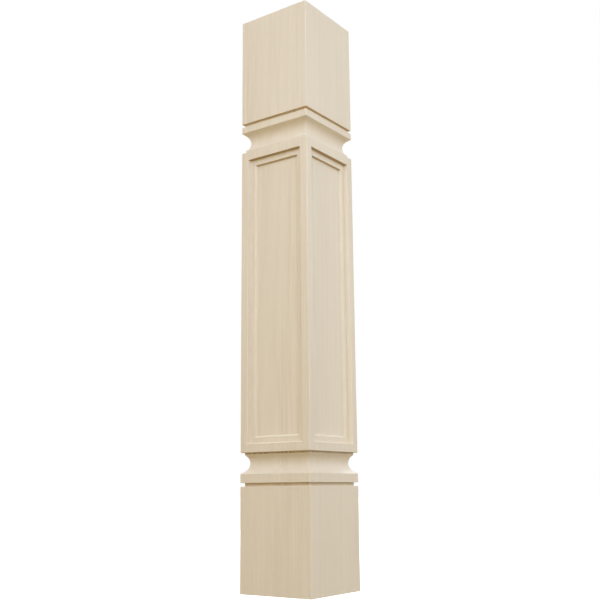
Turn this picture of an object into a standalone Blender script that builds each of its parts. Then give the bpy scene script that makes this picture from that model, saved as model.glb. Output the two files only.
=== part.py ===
"""A wooden cabinet column: plain square end blocks, a grooved and coved neck beside each of them, and
between the necks a shaft with a stepped, recessed panel on all four sides.

Metres, +Z up. The column stands on the middle of its underside, with its front towards -Y.
"""
import math

import bmesh
import bpy
from mathutils import Matrix, Vector

INCH = 0.0254

# The blank
WIDTH = 5 * INCH
HEIGHT = 35.5 * INCH
BOTTOM_BLOCK = 6 * INCH
TOP_BLOCK = 7 * INCH
ARRIS = 0.04 * INCH

# The necks, each in its order from an end block to the shaft, and the degrees that a band's end leans
GROOVE_HEIGHT = 0.21 * INCH
GROOVE_DEPTH = 0.1875 * INCH
LOWER_BAND_HEIGHT = 0.655 * INCH
UPPER_BAND_HEIGHT = 0.54 * INCH
BAND_SLANT = 37
BAND_ROUND = 0.03 * INCH
COVE_STEP = 0.1875 * INCH
LOWER_COVE_HEIGHT = 0.95 * INCH
UPPER_COVE_HEIGHT = 0.98 * INCH
COVE_SINK = 0.225 * INCH
LOWER_FILLET_HEIGHT = 0.13 * INCH
UPPER_FILLET_HEIGHT = 0.205 * INCH
SHAFT_ROUND = 0.04 * INCH

# The panel, in its order from the frame to the floor, and how far each of its two walls leans outwards
FRAME_WIDTH = 0.525 * INCH
OUTER_ROUND = 0.045 * INCH
OUTER_LEAN = 0.043 * INCH
OUTER_SINK = 0.23 * INCH
LEDGE_WIDTH = 0.33 * INCH
INNER_ROUND = 0.063 * INCH
INNER_LEAN = 0.067 * INCH
INNER_SINK = 0.166 * INCH

# Straight pieces in each curve
ARRIS_STEPS = 3
EDGE_STEPS = 3
ROUND_STEPS = 6
COVE_STEPS = 20

WOOD_COLOUR = (0.75, 0.65, 0.5, 1)
WOOD_ROUGHNESS = 0.55


def clear_scene():
    for item in list(bpy.data.objects):
        bpy.data.objects.remove(item, do_unlink=True)


def arc(centre, radius, start, end, steps):
    """Points along a circular arc, both ends included."""
    points = []
    for i in range(steps + 1):
        angle = math.radians(start + (end - start) * i / steps)
        points.append((centre[0] + radius * math.cos(angle), centre[1] + radius * math.sin(angle)))
    return points


def cove(start, height):
    """The hollow of a neck, as (distance in from the face, height) points."""
    half = height / 2
    radius = (half ** 2 + COVE_SINK ** 2) / (2 * COVE_SINK)
    opening = math.degrees(2 * math.atan2(COVE_SINK, half))
    centre = (COVE_STEP + COVE_SINK - radius, start + half)
    return arc(centre, radius, -opening, opening, COVE_STEPS)


def neck_profile(band_height, cove_height, fillet_height):
    """A neck from the block's end to the shaft, as (distance in from the face, height) points."""
    band_end = GROOVE_HEIGHT + band_height
    shaft_end = band_end + cove_height + fillet_height
    slant = math.radians(BAND_SLANT)
    band_edge = band_end - COVE_STEP * math.tan(slant)
    round_start = band_edge - BAND_ROUND * math.tan((math.pi / 2 - slant) / 2)
    shaft_round = min(SHAFT_ROUND, COVE_STEP)
    points = [(0, 0), (GROOVE_DEPTH, 0), (GROOVE_DEPTH, GROOVE_HEIGHT), (0, GROOVE_HEIGHT)]
    points += arc((BAND_ROUND, round_start), BAND_ROUND, 180, 90 + BAND_SLANT, EDGE_STEPS)
    points += cove(band_end, cove_height)
    points += [(COVE_STEP, shaft_end)]
    points += arc((shaft_round, shaft_end + shaft_round), shaft_round, 270, 180, ROUND_STEPS)
    return points


def step_down(edge, depth, radius, lean, sink):
    """A rounded edge and the wall that leans away below it, as (distance in, depth) points."""
    radius = min(radius, sink)
    turn = math.atan2(lean, sink)
    round_width = radius * math.tan((math.pi / 2 - turn) / 2)
    points = arc((edge - round_width, depth + radius), radius, -90, -math.degrees(turn), ROUND_STEPS)
    return points + [(edge + lean, depth + sink)]


def panel_profile():
    """A panel from its frame to its floor, as (distance in from the shaft's edge, depth) points."""
    ledge_end = FRAME_WIDTH + OUTER_LEAN + LEDGE_WIDTH
    points = step_down(FRAME_WIDTH, 0, OUTER_ROUND, OUTER_LEAN, OUTER_SINK)
    points += step_down(ledge_end, OUTER_SINK, INNER_ROUND, INNER_LEAN, INNER_SINK)
    return points


def without_repeats(points):
    kept = [points[0]]
    for point in points[1:]:
        if math.dist(point, kept[-1]) > 1e-6:
            kept.append(point)
    return kept


def add_ring(bm, inset, height):
    """One level of the column: a square whose four corners are eased by the same arc."""
    reach = WIDTH / 2 - inset - ARRIS
    ring = []
    for corner in range(4):
        turn = Matrix.Rotation(math.radians(90 * corner), 3, "Z")
        for x, y in arc((reach, reach), ARRIS, 0, 90, ARRIS_STEPS):
            ring.append(bm.verts.new(turn @ Vector((x, y, height))))
    return ring


def add_panel_loop(bm, side, inset, depth, low, high):
    """One level of a panel's recess, on the side that lies a number of quarter turns from the back."""
    reach = WIDTH / 2 - inset
    face = WIDTH / 2 - depth
    turn = Matrix.Rotation(math.radians(90 * side), 3, "Z")
    corners = [(reach, low + inset), (-reach, low + inset), (-reach, high - inset), (reach, high - inset)]
    return [bm.verts.new(turn @ Vector((x, face, z))) for x, z in corners]


def bridge(bm, first, second, left_open=()):
    """Quads between two loops of as many vertices, except at the given edges."""
    for i in range(len(first)):
        j = (i + 1) % len(first)
        if i not in left_open:
            bm.faces.new((first[i], first[j], second[j], second[i]))


def add_panel(bm, side, border, low, high):
    """The stepped recess inside the four vertices of one side of the shaft."""
    outer = border
    for inset, depth in without_repeats(panel_profile()):
        inner = add_panel_loop(bm, side, inset, depth, low, high)
        bridge(bm, outer, inner)
        outer = inner
    bm.faces.new(outer)


def column_mesh():
    bm = bmesh.new()
    lower_neck = neck_profile(LOWER_BAND_HEIGHT, LOWER_COVE_HEIGHT, LOWER_FILLET_HEIGHT)
    upper_neck = neck_profile(UPPER_BAND_HEIGHT, UPPER_COVE_HEIGHT, UPPER_FILLET_HEIGHT)
    low = BOTTOM_BLOCK
    high = HEIGHT - TOP_BLOCK
    lower = [(0, 0)] + [(inset, low + rise) for inset, rise in without_repeats(lower_neck)]
    upper = [(0, HEIGHT)] + [(inset, high - rise) for inset, rise in without_repeats(upper_neck)]
    upper.reverse()
    lower_rings = [add_ring(bm, inset, height) for inset, height in lower]
    upper_rings = [add_ring(bm, inset, height) for inset, height in upper]
    for rings in (lower_rings, upper_rings):
        for below, above in zip(rings, rings[1:]):
            bridge(bm, below, above)
    bm.faces.new(reversed(lower_rings[0]))
    bm.faces.new(upper_rings[-1])

    shaft_foot = lower_rings[-1]
    shaft_head = upper_rings[0]
    corner_size = ARRIS_STEPS + 1
    flats = [corner_size * side + ARRIS_STEPS for side in range(4)]
    bridge(bm, shaft_foot, shaft_head, left_open=flats)
    shaft_low = low + GROOVE_HEIGHT + LOWER_BAND_HEIGHT + LOWER_COVE_HEIGHT + LOWER_FILLET_HEIGHT
    shaft_high = high - GROOVE_HEIGHT - UPPER_BAND_HEIGHT - UPPER_COVE_HEIGHT - UPPER_FILLET_HEIGHT
    for side, first in enumerate(flats):
        second = (first + 1) % len(shaft_foot)
        border = [shaft_foot[first], shaft_foot[second], shaft_head[second], shaft_head[first]]
        add_panel(bm, side, border, shaft_low, shaft_high)

    bmesh.ops.recalc_face_normals(bm, faces=bm.faces)
    mesh = bpy.data.meshes.new("column")
    bm.to_mesh(mesh)
    bm.free()
    mesh.shade_smooth()
    mesh.set_sharp_from_angle(angle=math.radians(32))
    return mesh


def wood():
    material = bpy.data.materials.new("wood")
    material.use_nodes = True
    shader = material.node_tree.nodes["Principled BSDF"]
    shader.inputs["Base Color"].default_value = WOOD_COLOUR
    shader.inputs["Roughness"].default_value = WOOD_ROUGHNESS
    shader.inputs["Metallic"].default_value = 0
    return material


def build():
    clear_scene()
    column = bpy.data.objects.new("column", column_mesh())
    column.data.materials.append(wood())
    bpy.context.scene.collection.objects.link(column)


build()
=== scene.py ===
"""The looks of the wooden cabinet column: its finely eased body, its bare pale wood, and the studio.

Metres, +Z up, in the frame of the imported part.
"""
import math

import bmesh
import bpy
from mathutils import Matrix, Vector


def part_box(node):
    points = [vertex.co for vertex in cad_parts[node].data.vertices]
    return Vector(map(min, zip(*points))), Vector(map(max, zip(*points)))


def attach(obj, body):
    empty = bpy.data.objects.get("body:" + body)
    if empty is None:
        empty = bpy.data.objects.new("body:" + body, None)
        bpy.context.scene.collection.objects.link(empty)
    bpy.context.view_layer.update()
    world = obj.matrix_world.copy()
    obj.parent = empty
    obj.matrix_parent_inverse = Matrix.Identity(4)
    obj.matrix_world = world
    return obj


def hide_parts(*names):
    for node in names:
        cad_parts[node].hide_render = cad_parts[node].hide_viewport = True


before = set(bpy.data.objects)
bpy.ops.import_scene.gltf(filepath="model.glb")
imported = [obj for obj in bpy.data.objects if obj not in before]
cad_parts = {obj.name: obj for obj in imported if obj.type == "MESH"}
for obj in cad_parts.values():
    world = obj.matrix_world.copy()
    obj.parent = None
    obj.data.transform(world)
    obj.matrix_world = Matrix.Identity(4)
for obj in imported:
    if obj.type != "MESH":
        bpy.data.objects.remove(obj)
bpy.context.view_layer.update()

INCH = 0.0254

# The blank, whose width and height come from the frame
LOW_CORNER, HIGH_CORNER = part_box("column")
WIDTH = HIGH_CORNER[0] - LOW_CORNER[0]
HEIGHT = HIGH_CORNER[2] - LOW_CORNER[2]
HALF_WIDTH = WIDTH / 2
BOTTOM_BLOCK = 6 * INCH
TOP_BLOCK = 7 * INCH
ARRIS = 0.04 * INCH

# The necks, each in its order from an end block to the shaft, and the degrees that a band's end leans
GROOVE_HEIGHT = 0.21 * INCH
GROOVE_DEPTH = 0.1875 * INCH
LOWER_BAND_HEIGHT = 0.655 * INCH
UPPER_BAND_HEIGHT = 0.54 * INCH
BAND_SLANT = 37
BAND_ROUND = 0.03 * INCH
COVE_STEP = 0.1875 * INCH
LOWER_COVE_HEIGHT = 0.95 * INCH
UPPER_COVE_HEIGHT = 0.98 * INCH
COVE_SINK = 0.225 * INCH
LOWER_FILLET_HEIGHT = 0.13 * INCH
UPPER_FILLET_HEIGHT = 0.205 * INCH
SHAFT_ROUND = 0.04 * INCH
LOWER_NECK = GROOVE_HEIGHT + LOWER_BAND_HEIGHT + LOWER_COVE_HEIGHT + LOWER_FILLET_HEIGHT
UPPER_NECK = GROOVE_HEIGHT + UPPER_BAND_HEIGHT + UPPER_COVE_HEIGHT + UPPER_FILLET_HEIGHT
SHAFT_LOW = BOTTOM_BLOCK + LOWER_NECK
SHAFT_HIGH = HEIGHT - TOP_BLOCK - UPPER_NECK

# The panel, in its order from the frame to the floor, and how far each of its two walls leans outwards
FRAME_WIDTH = 0.525 * INCH
OUTER_ROUND = 0.045 * INCH
OUTER_LEAN = 0.043 * INCH
OUTER_SINK = 0.23 * INCH
LEDGE_WIDTH = 0.33 * INCH
INNER_ROUND = 0.063 * INCH
INNER_LEAN = 0.067 * INCH
INNER_SINK = 0.166 * INCH

# How far sandpaper has taken the sharp edges back
EASED = 0.0004

# Straight pieces in each curve
EASED_STEPS = 3
ARRIS_STEPS = 4
EDGE_STEPS = 4
ROUND_STEPS = 8
COVE_STEPS = 32

# The bevel profile that is a circular arc
ROUND_PROFILE = 0.5

# Edges that turn by less than this are smooth, and wide faces lead the shading beside them
SMOOTH_UNDER = math.radians(32)
WIDE_FACES_LEAD = 100

# The body's finishes, after the sanded wood: the rubbed edge, which is wear with a painted highlight, painted
# shade on the faces that point down, the softened arris, and painted shade on the lower fillet
RUBBED_AND_HIGHLIT = 1
SHADED_UNDERSIDE = 2
SOFTENED = 3
SHADED_FILLET = 4

# How far each of them is mixed to its other colour: wear on the softened arris, wear with a painted highlight
# on the rubbed edge, and painted shade on the fillet
RUBBED_AND_HIGHLIT_MIX = 1.1
SOFTENED_WEAR = 0.2
FILLET_SHADE_MIX = 1

# The least that a normal points along a side's axis, up or down, and along each axis on an arris
LEAST_SIDE = 0.99
LEAST_END = 0.9
LEAST_CORNER_TURN = 0.15

# Heights and distances that agree within this are the same
CLOSE = 0.00005

# The wood, as its sanded faces show it from pale to deep, on a rubbed edge, where it is wear with a painted
# highlight, and the painted shade on the fillet under the shaft
PALE_WOOD = (0.8, 0.7, 0.55, 1)
DEEP_WOOD = (0.7, 0.585, 0.44, 1)
RUBBED_AND_HIGHLIT_WOOD = (0.9, 0.81, 0.67, 1)
PAINTED_FILLET_SHADE = (0.5, 0.38, 0.22, 1)

# What end grain does to it where it was sawn, and the painted shade on the faces that point down on the shaft
SAWN_END = (0.92, 0.84, 0.68, 1)
PAINTED_UNDERSIDE_SHADE = (0.6, 0.48, 0.31, 1)

# The heart of the tree, beside the column and leaning a little, and how far the rings sway round it
HEART_PLACE = (0.045, 0.19, 0)
HEART_LEAN = (math.radians(0.7), math.radians(-0.5), 0)
SWAY_CELLS = (9, 9, 0.9)
SWAY_DETAIL = 2
SWAY_REACH = (0.014, 0.014, 0)
ACROSS_ONLY = (1, 1, 0)
RING_WIDTH = 0.0028
BAND_SCALE = 1 / (2 * RING_WIDTH)
BAND_DETAIL = 3
LATE_WOOD = (0.7, 1)

# The streaks, each as its cells to the metre across and along, and its detail
FIBRE = (420, 9, 3)
FINE_FIBRE = (1900, 45, 2)
CLOUDS = (14, 2.5, 2)
FIGURE = (34, 1.6, 1)
PORES = (3800, 260, 0)

# The part of each noise's range that counts, and in some what it becomes
FIGURE_RANGE = (0.42, 0.68, 0.3, 1.75)
PORE_RANGE = (0.7, 0.78)
WEAR_AND_PAINT_RANGE = (0.3, 0.7)
ROUGHNESS_RANGE = (0.3, 0.7, 0.54, 0.66)

# How far a normal points up or down where the end colour shows (end grain, and painted shade on the shaft's
# downward faces), and along X where the streaks go faint
END_FACING_RANGE = (0.8, 1)
STREAK_RANGE = (0.4, 0.8, 1.1, 0.5)

# How much each of them deepens the colour, changes the roughness and raises the surface
HALF_DEEP = 0.5
BANDS_DEEPEN = 0.4
FINE_FIBRE_DEEPENS = 0.6
CLOUDS_DEEPEN = 0.8
LATE_WOOD_DEEPENS = 0.02
PORES_DEEPEN = 0.45
END_GRAIN_ROUGHENS = 0.12
SECOND_AMOUNT_ROUGHENS = -0.08
FINE_FIBRE_RAISES = 0.6
PORES_RAISE = -0.8
RELIEF_STRENGTH = 0.5
RELIEF_HEIGHT = 0.00012

# The camera, as the photograph was taken
CAMERA_DISTANCE = 1.3817
CAMERA_TURN = math.radians(35.807)
CAMERA_HEIGHT = 0.1463
LOOK_TURN = math.radians(35.702)
LOOK_UP = math.radians(11.91)
LOOK_ROLL = math.radians(0.489)
LENS = 54.19
FILM_WIDTH = 36

# The studio
LIGHT_AIM = Vector((0, 0, HEIGHT / 2))
LIGHT_DISTANCE = 2.2
LIGHT_SIZE = 1.2
SKY_ABOVE = 0.67
SKY_BELOW = 0.4
SKY_ABOVE_COLOUR = (1.01, 1, 0.93, 1)
SKY_BELOW_COLOUR = (1.15, 0.98, 0.63, 1)
SKY_BLEND = 0.3
WHITE = (1, 1, 1, 1)
FLOOR_SIZE = 30
FLOOR_COLOUR = (0.8, 0.8, 0.8, 1)
FLOOR_ROUGHNESS = 0.9
FLOOR_GLOW = 0.7


def arc(centre, radius, start, end, steps):
    """Points along a circular arc, both ends included."""
    points = []
    for i in range(steps + 1):
        angle = math.radians(start + (end - start) * i / steps)
        points.append((centre[0] + radius * math.cos(angle), centre[1] + radius * math.sin(angle)))
    return points


def cove(start, height):
    """The hollow of a neck, as (distance in from the face, height) points."""
    half = height / 2
    radius = (half ** 2 + COVE_SINK ** 2) / (2 * COVE_SINK)
    opening = math.degrees(2 * math.atan2(COVE_SINK, half))
    centre = (COVE_STEP + COVE_SINK - radius, start + half)
    return arc(centre, radius, -opening, opening, COVE_STEPS)


def neck_profile(band_height, cove_height, fillet_height):
    """A neck from the block's end to the shaft, as (distance in from the face, height) points."""
    band_end = GROOVE_HEIGHT + band_height
    shaft_end = band_end + cove_height + fillet_height
    slant = math.radians(BAND_SLANT)
    band_edge = band_end - COVE_STEP * math.tan(slant)
    round_start = band_edge - BAND_ROUND * math.tan((math.pi / 2 - slant) / 2)
    points = [(0, 0), (GROOVE_DEPTH, 0), (GROOVE_DEPTH, GROOVE_HEIGHT), (0, GROOVE_HEIGHT)]
    points += arc((BAND_ROUND, round_start), BAND_ROUND, 180, 90 + BAND_SLANT, EDGE_STEPS)
    points += cove(band_end, cove_height)
    points += [(COVE_STEP, shaft_end)]
    points += arc((SHAFT_ROUND, shaft_end + SHAFT_ROUND), SHAFT_ROUND, 270, 180, ROUND_STEPS)
    return points


def select_faces(test):
    """Selects only the faces whose middle and normal pass a test."""
    bpy.ops.mesh.select_mode(type="FACE")
    bpy.ops.mesh.select_all(action="DESELECT")
    mesh = bpy.context.object.data
    shape = bmesh.from_edit_mesh(mesh)
    for face in shape.faces:
        if test(face.calc_center_median(), face.normal):
            face.select_set(True)
    bmesh.update_edit_mesh(mesh)


def select_edges(test):
    """Selects only the edges whose two ends pass a test."""
    bpy.ops.mesh.select_mode(type="EDGE")
    bpy.ops.mesh.select_all(action="DESELECT")
    mesh = bpy.context.object.data
    shape = bmesh.from_edit_mesh(mesh)
    for edge in shape.edges:
        if test(edge.verts[0].co, edge.verts[1].co):
            edge.select_set(True)
    bmesh.update_edit_mesh(mesh)


def reach(point):
    """How far a point of the column is from the middle plane that its side is square to."""
    return max(abs(point.x), abs(point.y))


def square_block(finishes):
    """The bottom block, with its four upright arrises rounded."""
    bpy.ops.object.select_all(action="DESELECT")
    bpy.ops.mesh.primitive_cube_add(size=1, location=(0, 0, BOTTOM_BLOCK / 2),
                                    scale=(WIDTH, WIDTH, BOTTOM_BLOCK))
    block = bpy.context.object
    for finish in finishes:
        block.data.materials.append(finish)
    bpy.ops.object.transform_apply(location=True, rotation=True, scale=True)
    bpy.ops.object.mode_set(mode="EDIT")
    select_edges(lambda a, b: abs(a.z - b.z) > CLOSE)
    bpy.ops.mesh.bevel(offset=ARRIS, segments=ARRIS_STEPS, profile=ROUND_PROFILE)
    return block


def draw_up(profile):
    """Draws the column's upper end through a profile's (distance in from the face, height) points."""
    select_faces(lambda middle, normal: normal.z > LEAST_END and middle.z > BOTTOM_BLOCK - CLOSE)
    last_half, last_height = HALF_WIDTH, BOTTOM_BLOCK
    for inset, height in profile:
        half = HALF_WIDTH - inset
        grow = half / last_half
        bpy.ops.mesh.extrude_region_move(TRANSFORM_OT_translate={"value": (0, 0, height - last_height)})
        bpy.ops.transform.resize(value=(grow, grow, 1), center_override=(0, 0, height))
        last_half, last_height = half, height


def sink_panels():
    """The two steps of the recess, pressed into all four sides of the shaft at once."""
    middle_height = (SHAFT_LOW + SHAFT_HIGH) / 2
    half_height = (SHAFT_HIGH - SHAFT_LOW) / 2
    select_faces(lambda middle, normal: abs(middle.z - middle_height) < CLOSE and reach(normal) > LEAST_SIDE)
    bpy.ops.mesh.inset(thickness=FRAME_WIDTH - ARRIS, use_individual=True)
    stretch = (half_height - FRAME_WIDTH) / (half_height - SHAFT_ROUND - FRAME_WIDTH + ARRIS)
    bpy.ops.transform.resize(value=(1, 1, stretch), center_override=(0, 0, middle_height))
    bpy.ops.mesh.inset(thickness=OUTER_LEAN, depth=-OUTER_SINK, use_individual=True)
    bpy.ops.mesh.inset(thickness=LEDGE_WIDTH, use_individual=True)
    bpy.ops.mesh.inset(thickness=INNER_LEAN, depth=-INNER_SINK, use_individual=True)

    ledge_end = FRAME_WIDTH + OUTER_LEAN + LEDGE_WIDTH
    for margin, depth, radius, lean, sink in ((FRAME_WIDTH, 0, OUTER_ROUND, OUTER_LEAN, OUTER_SINK),
                                              (ledge_end, OUTER_SINK, INNER_ROUND, INNER_LEAN, INNER_SINK)):
        turn = math.atan2(lean, sink)
        round_width = radius * math.tan((math.pi / 2 - turn) / 2)

        def on_step(point):
            across = min(abs(point.x), abs(point.y))
            return (abs(reach(point) - HALF_WIDTH + depth) < CLOSE
                    and abs(across - HALF_WIDTH + margin) < CLOSE
                    and abs(abs(point.z - middle_height) - half_height + margin) < CLOSE)
        select_edges(lambda a, b: on_step(a) and on_step(b))
        # The rounds of the steps take the rubbed edge: wear with a painted highlight
        bpy.ops.mesh.bevel(offset=round_width, segments=ROUND_STEPS, profile=ROUND_PROFILE, material=RUBBED_AND_HIGHLIT)


def ease_rims(rims):
    """Takes the sharpness off the rims at some (distance in from the face, height) points."""
    for inset, height in rims:
        def on_rim(point):
            return abs(point.z - height) < CLOSE and -CLOSE < HALF_WIDTH - inset - reach(point) < ARRIS / 2
        select_edges(lambda a, b: on_rim(a) and on_rim(b))
        # The eased rims take the rubbed edge: wear with a painted highlight
        bpy.ops.mesh.bevel(offset=EASED, segments=EASED_STEPS, profile=ROUND_PROFILE, material=RUBBED_AND_HIGHLIT)


def finish_faces(finish, test):
    """Gives one of the finishes to the faces whose middle and normal pass a test."""
    select_faces(test)
    bpy.context.object.active_material_index = finish
    bpy.ops.object.material_slot_assign()


def finish_shaft():
    """Painted shade on the faces that point down at the ends of the recesses and of the shaft, the rubbed
    edge as a painted highlight on the faces in the recesses that point up, painted shade on the fillet under
    the shaft, and the softened arrises.
    """
    recess_low = SHAFT_LOW + FRAME_WIDTH / 2
    recess_high = SHAFT_HIGH - FRAME_WIDTH / 2

    def faces_down(middle, normal):
        return SHAFT_LOW - CLOSE < middle.z < SHAFT_HIGH + CLOSE and normal.z < -LEAST_END

    def faces_up(middle, normal):
        return recess_low < middle.z < recess_high and normal.z > LEAST_END

    def on_fillet(middle, normal):
        return SHAFT_LOW - LOWER_FILLET_HEIGHT < middle.z < SHAFT_LOW

    def on_arris(middle, normal):
        return min(abs(normal.x), abs(normal.y)) > LEAST_CORNER_TURN

    # Painted shade on the faces that point down
    finish_faces(SHADED_UNDERSIDE, faces_down)
    # The rubbed edge on the faces in the recesses that point up is a painted highlight
    finish_faces(RUBBED_AND_HIGHLIT, faces_up)
    # Painted shade on the fillet under the shaft
    finish_faces(SHADED_FILLET, on_fillet)
    finish_faces(SOFTENED, on_arris)


def column_body(finishes):
    """The whole column, from the bottom block up."""
    lower = neck_profile(LOWER_BAND_HEIGHT, LOWER_COVE_HEIGHT, LOWER_FILLET_HEIGHT)
    upper = neck_profile(UPPER_BAND_HEIGHT, UPPER_COVE_HEIGHT, UPPER_FILLET_HEIGHT)
    shoulder = HEIGHT - TOP_BLOCK
    profile = [(inset, BOTTOM_BLOCK + rise) for inset, rise in lower[1:]]
    profile += [(inset, shoulder - drop) for inset, drop in reversed(upper)]
    profile += [(0, HEIGHT)]
    rims = [(0, 0), (0, BOTTOM_BLOCK), (0, BOTTOM_BLOCK + GROOVE_HEIGHT)]
    rims += [(COVE_STEP, SHAFT_LOW - LOWER_FILLET_HEIGHT), (COVE_STEP, SHAFT_HIGH + UPPER_FILLET_HEIGHT)]
    rims += [(0, shoulder - GROOVE_HEIGHT), (0, shoulder), (0, HEIGHT)]
    body = square_block(finishes)
    draw_up(profile)
    sink_panels()
    finish_shaft()
    ease_rims(rims)
    bpy.ops.object.mode_set(mode="OBJECT")
    return body


def smooth(body):
    """Round where it is round, and dead flat where it is flat."""
    bpy.ops.object.select_all(action="DESELECT")
    body.select_set(True)
    bpy.context.view_layer.objects.active = body
    bpy.ops.object.shade_smooth_by_angle(angle=SMOOTH_UNDER)
    weighting = body.modifiers.new("flat sides", "WEIGHTED_NORMAL")
    weighting.keep_sharp = True
    weighting.weight = WIDE_FACES_LEAD
    bpy.ops.object.modifier_apply(modifier=weighting.name)


def put(tree, kind, inputs, **properties):
    """Adds a node, sets its properties, and gives each of the inputs a value or a link."""
    node = tree.nodes.new(kind)
    for name, value in properties.items():
        setattr(node, name, value)
    for key, value in inputs.items():
        if isinstance(value, bpy.types.NodeSocket):
            tree.links.new(value, node.inputs[key])
        else:
            node.inputs[key].default_value = value
    return node


def calculate(tree, operation, *values):
    """The result of some arithmetic on numbers or links."""
    node = put(tree, "ShaderNodeMath", dict(enumerate(values)), operation=operation)
    return node.outputs["Value"]


def streaks(tree, place, across, along, detail):
    """Grey noise drawn out along the height, with its cells to the metre across and along."""
    drawn = put(tree, "ShaderNodeMapping", {"Vector": place, "Scale": (across, across, along)})
    noise = put(tree, "ShaderNodeTexNoise", {"Vector": drawn.outputs["Vector"], "Scale": 1, "Detail": detail})
    return noise.outputs["Fac"]


def around_zero(tree, noise):
    """Grey noise, moved so that its middle is 0."""
    return calculate(tree, "SUBTRACT", noise, 0.5)


def spread(tree, value, low, high, end_low=0, end_high=1):
    """A value's range from low to high, made a range from end_low to end_high."""
    ramp = put(tree, "ShaderNodeMapRange", {"Value": value, "From Min": low, "From Max": high,
                                            "To Min": end_low, "To Max": end_high})
    return ramp.outputs["Result"]


def tint(tree, how, amount, first, second):
    """Two colours mixed by an amount."""
    node = put(tree, "ShaderNodeMix", {"Factor": amount}, data_type="RGBA", blend_type=how)
    for socket, value in ((node.inputs[6], first), (node.inputs[7], second)):
        if isinstance(value, bpy.types.NodeSocket):
            tree.links.new(value, socket)
        else:
            socket.default_value = value
    return node.outputs[2]


def ring_distance(tree, place):
    """How far each point of the wood was from the heart of the tree."""
    leaning = put(tree, "ShaderNodeMapping", {"Vector": place, "Location": HEART_PLACE,
                                              "Rotation": HEART_LEAN})
    drawn = put(tree, "ShaderNodeMapping", {"Vector": place, "Scale": SWAY_CELLS})
    sway = put(tree, "ShaderNodeTexNoise", {"Vector": drawn.outputs["Vector"], "Scale": 1,
                                            "Detail": SWAY_DETAIL})
    moved = put(tree, "ShaderNodeVectorMath", {0: sway.outputs["Color"], 1: SWAY_REACH,
                                               2: leaning.outputs["Vector"]}, operation="MULTIPLY_ADD")
    flat = put(tree, "ShaderNodeVectorMath", {0: moved.outputs["Vector"], 1: ACROSS_ONLY},
               operation="MULTIPLY")
    length = put(tree, "ShaderNodeVectorMath", {0: flat.outputs["Vector"]}, operation="LENGTH")
    return length.outputs["Value"]


def hardwood_group():
    """Pale, close-grained hardwood that runs right through the column, so its sides and ends agree."""
    group = bpy.data.node_groups.new("pale hardwood", "ShaderNodeTree")
    for name, kind in (("Pale", "NodeSocketColor"), ("Deep", "NodeSocketColor"), ("End", "NodeSocketColor"),
                       ("Second colour", "NodeSocketColor"), ("Second amount", "NodeSocketFloat")):
        group.interface.new_socket(name, in_out="INPUT", socket_type=kind)
    for name, kind in (("Color", "NodeSocketColor"), ("Roughness", "NodeSocketFloat"),
                       ("Height", "NodeSocketFloat")):
        group.interface.new_socket(name, in_out="OUTPUT", socket_type=kind)
    given = group.nodes.new("NodeGroupInput").outputs
    own = group.nodes.new("ShaderNodeTexCoord").outputs
    place = own["Object"]
    facing = put(group, "ShaderNodeSeparateXYZ", {"Vector": own["Normal"]}).outputs
    # The ends' mask: end grain, and painted shade on the finish of the faces that point down
    end_facing = spread(group, calculate(group, "ABSOLUTE", facing["Z"]), *END_FACING_RANGE)
    streak_strength = spread(group, calculate(group, "ABSOLUTE", facing["X"]), *STREAK_RANGE)

    distance = ring_distance(group, place)
    bands = put(group, "ShaderNodeTexNoise", {"W": distance, "Scale": BAND_SCALE, "Detail": BAND_DETAIL},
                noise_dimensions="1D").outputs["Fac"]
    year = calculate(group, "FRACT", calculate(group, "DIVIDE", distance, RING_WIDTH))
    late_wood = spread(group, year, *LATE_WOOD)
    fibre = streaks(group, place, *FIBRE)
    fine_fibre = streaks(group, place, *FINE_FIBRE)
    clouds = streaks(group, place, *CLOUDS)
    figured = spread(group, streaks(group, place, *FIGURE), *FIGURE_RANGE)
    pores = spread(group, streaks(group, place, *PORES), *PORE_RANGE)

    depth = calculate(group, "MULTIPLY_ADD", around_zero(group, bands), BANDS_DEEPEN, HALF_DEEP)
    fibres = calculate(group, "MULTIPLY", around_zero(group, fibre), figured)
    fibres = calculate(group, "MULTIPLY_ADD", around_zero(group, fine_fibre), FINE_FIBRE_DEEPENS, fibres)
    depth = calculate(group, "MULTIPLY_ADD", fibres, streak_strength, depth)
    depth = calculate(group, "MULTIPLY_ADD", around_zero(group, clouds), CLOUDS_DEEPEN, depth)
    depth = calculate(group, "MULTIPLY_ADD", late_wood, LATE_WOOD_DEEPENS, depth)
    depth = calculate(group, "MULTIPLY_ADD", pores, PORES_DEEPEN, depth)
    sides = tint(group, "MIX", depth, given["Pale"], given["Deep"])
    # On the faces that point down on the shaft, the end colour is painted shade
    colour = tint(group, "MULTIPLY", end_facing, sides, given["End"])
    # The second colour: wear on the softened arris, wear with a painted highlight on the rubbed edge, painted
    # shade on the fillet
    wear_and_painted_light = calculate(group, "MULTIPLY", given["Second amount"], spread(group, fibre, *WEAR_AND_PAINT_RANGE))
    colour = tint(group, "MIX", wear_and_painted_light, colour, given["Second colour"])

    roughness = spread(group, fine_fibre, *ROUGHNESS_RANGE)
    roughness = calculate(group, "MULTIPLY_ADD", end_facing, END_GRAIN_ROUGHENS, roughness)
    roughness = calculate(group, "MULTIPLY_ADD", given["Second amount"], SECOND_AMOUNT_ROUGHENS, roughness)
    height = calculate(group, "MULTIPLY_ADD", fine_fibre, FINE_FIBRE_RAISES, fibre)
    height = calculate(group, "MULTIPLY_ADD", pores, PORES_RAISE, height)
    left = group.nodes.new("NodeGroupOutput")
    for name, socket in (("Color", colour), ("Roughness", roughness), ("Height", height)):
        group.links.new(socket, left.inputs[name])
    return group


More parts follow.
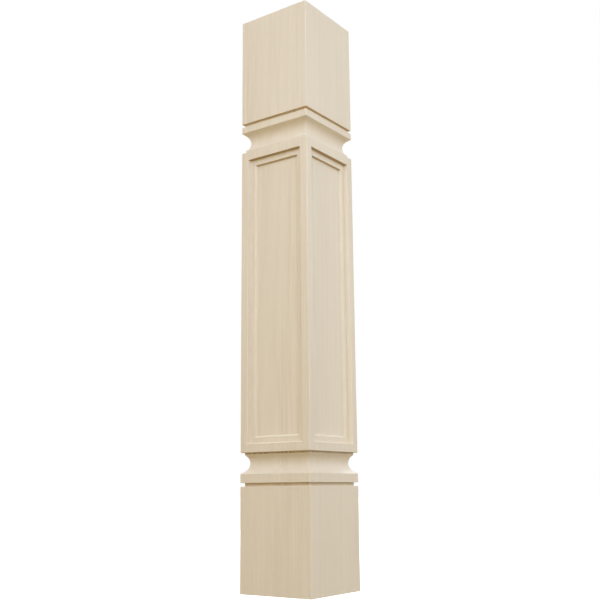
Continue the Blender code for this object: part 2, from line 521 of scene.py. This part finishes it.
def wood_finish(name, group, end, second_colour, second_amount):
    """The column's wood, with the colour that its ends take and how far it is mixed to a second colour; some
    finishes use these for end grain and wear, others for a painted highlight and painted shade.
    """
    material = bpy.data.materials.new(name)
    material.use_nodes = True
    tree = material.node_tree
    wood = put(tree, "ShaderNodeGroup", {}, node_tree=group)
    for socket, value in (("Pale", PALE_WOOD), ("Deep", DEEP_WOOD), ("End", end), ("Second colour", second_colour),
                          ("Second amount", second_amount)):
        wood.inputs[socket].default_value = value
    bump = put(tree, "ShaderNodeBump", {"Height": wood.outputs["Height"], "Strength": RELIEF_STRENGTH,
                                        "Distance": RELIEF_HEIGHT})
    shader = tree.nodes["Principled BSDF"]
    tree.links.new(wood.outputs["Color"], shader.inputs["Base Color"])
    tree.links.new(wood.outputs["Roughness"], shader.inputs["Roughness"])
    tree.links.new(bump.outputs["Normal"], shader.inputs["Normal"])
    return material


def softbox(name, turn, rise, power, colour):
    """A square soft light on a stand, turned round from the front and raised, in degrees."""
    across = math.radians(turn)
    up = math.radians(rise)
    direction = Vector((math.sin(across) * math.cos(up), -math.cos(across) * math.cos(up), math.sin(up)))
    data = bpy.data.lights.new(name, "AREA")
    data.shape = "SQUARE"
    data.size = LIGHT_SIZE
    data.energy = power
    data.color = colour
    light = bpy.data.objects.new(name, data)
    light.location = LIGHT_AIM + direction * LIGHT_DISTANCE
    light.rotation_euler = (-direction).to_track_quat("-Z", "Y").to_euler()
    bpy.context.scene.collection.objects.link(light)


def studio_light():
    """Soft lights all round, with the key light over the corner that faces the camera."""
    softbox("key light", 45, 30, 20.3, (0.8, 1.03, 1.42))
    softbox("front light", 15, 5, 7.5, (1.22, 0.99, 0.5))
    softbox("high front light", 15, 30, 4, (0.98, 0.98, 1.36))
    softbox("left light", -75, 5, 6, (1, 1, 1))
    softbox("back light", 135, 5, 8.6, (1, 0.98, 1.25))
    softbox("right light", 105, 5, 5.6, (0.97, 1.05, 0.86))
    softbox("far side light", -110, 20, 16, (0.92, 1, 1.2))
    softbox("rear light", -165, 20, 22, (0.92, 1, 1.2))


def surround():
    """Pale light from all round, stronger from above, behind a white backdrop."""
    world = bpy.data.worlds.new("studio")
    bpy.context.scene.world = world
    world.use_nodes = True
    tree = world.node_tree
    tree.nodes.clear()
    place = tree.nodes.new("ShaderNodeTexCoord")
    parts = tree.nodes.new("ShaderNodeSeparateXYZ")
    tree.links.new(place.outputs["Generated"], parts.inputs["Vector"])
    halves = []
    for end, strength, colour in ((SKY_BLEND, SKY_ABOVE, SKY_ABOVE_COLOUR),
                                  (-SKY_BLEND, SKY_BELOW, SKY_BELOW_COLOUR)):
        power = spread(tree, parts.outputs["Z"], 0, end, 0, strength)
        half = put(tree, "ShaderNodeBackground", {"Color": colour, "Strength": power})
        halves.append(half.outputs["Background"])
    sky = put(tree, "ShaderNodeAddShader", dict(enumerate(halves)))
    white = put(tree, "ShaderNodeBackground", {"Color": WHITE, "Strength": 1})
    seen = tree.nodes.new("ShaderNodeLightPath")
    mix = tree.nodes.new("ShaderNodeMixShader")
    tree.links.new(seen.outputs["Is Camera Ray"], mix.inputs["Fac"])
    tree.links.new(sky.outputs["Shader"], mix.inputs[1])
    tree.links.new(white.outputs["Background"], mix.inputs[2])
    output = tree.nodes.new("ShaderNodeOutputWorld")
    tree.links.new(mix.outputs["Shader"], output.inputs["Surface"])


def white_floor():
    """The studio's floor. It is seen, but the light from below is the surround's."""
    bpy.ops.mesh.primitive_plane_add(size=FLOOR_SIZE, location=(0, 0, 0))
    floor = bpy.context.object
    floor.name = "floor"
    floor.visible_diffuse = False
    floor.visible_glossy = False
    floor.visible_shadow = False
    material = bpy.data.materials.new("white floor")
    material.use_nodes = True
    shader = material.node_tree.nodes["Principled BSDF"]
    shader.inputs["Base Color"].default_value = FLOOR_COLOUR
    shader.inputs["Roughness"].default_value = FLOOR_ROUGHNESS
    shader.inputs["Specular IOR Level"].default_value = 0
    shader.inputs["Emission Color"].default_value = WHITE
    shader.inputs["Emission Strength"].default_value = FLOOR_GLOW
    floor.data.materials.append(material)


def camera():
    """The camera, low in front of the column's right-hand corner and looking up a little."""
    data = bpy.data.cameras.new("camera")
    data.sensor_width = FILM_WIDTH
    data.lens = LENS
    view = bpy.data.objects.new("camera", data)
    across = CAMERA_DISTANCE * math.sin(CAMERA_TURN)
    back = CAMERA_DISTANCE * math.cos(CAMERA_TURN)
    view.location = (across, -back, CAMERA_HEIGHT)
    turn = Matrix.Rotation(LOOK_TURN, 4, "Z") @ Matrix.Rotation(math.pi / 2 + LOOK_UP, 4, "X")
    view.rotation_euler = (turn @ Matrix.Rotation(-LOOK_ROLL, 4, "Z")).to_euler()
    bpy.context.scene.collection.objects.link(view)
    bpy.context.scene.camera = view


hardwood = hardwood_group()
# The second finish is wear with a painted highlight, and the third and fifth are painted shade
body = column_body((wood_finish("sanded wood", hardwood, SAWN_END, RUBBED_AND_HIGHLIT_WOOD, 0),
                    wood_finish("rubbed edge and painted highlight", hardwood, SAWN_END, RUBBED_AND_HIGHLIT_WOOD, RUBBED_AND_HIGHLIT_MIX),
                    wood_finish("painted underside shade", hardwood, PAINTED_UNDERSIDE_SHADE, RUBBED_AND_HIGHLIT_WOOD, 0),
                    wood_finish("softened arris", hardwood, SAWN_END, RUBBED_AND_HIGHLIT_WOOD, SOFTENED_WEAR),
                    wood_finish("painted fillet shade", hardwood, SAWN_END, PAINTED_FILLET_SHADE, FILLET_SHADE_MIX)))
body.name = "column_body"
smooth(body)
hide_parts("column")
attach(body, "root")

studio_light()
surround()
white_floor()
camera()
bpy.context.scene.view_settings.view_transform = "Standard"
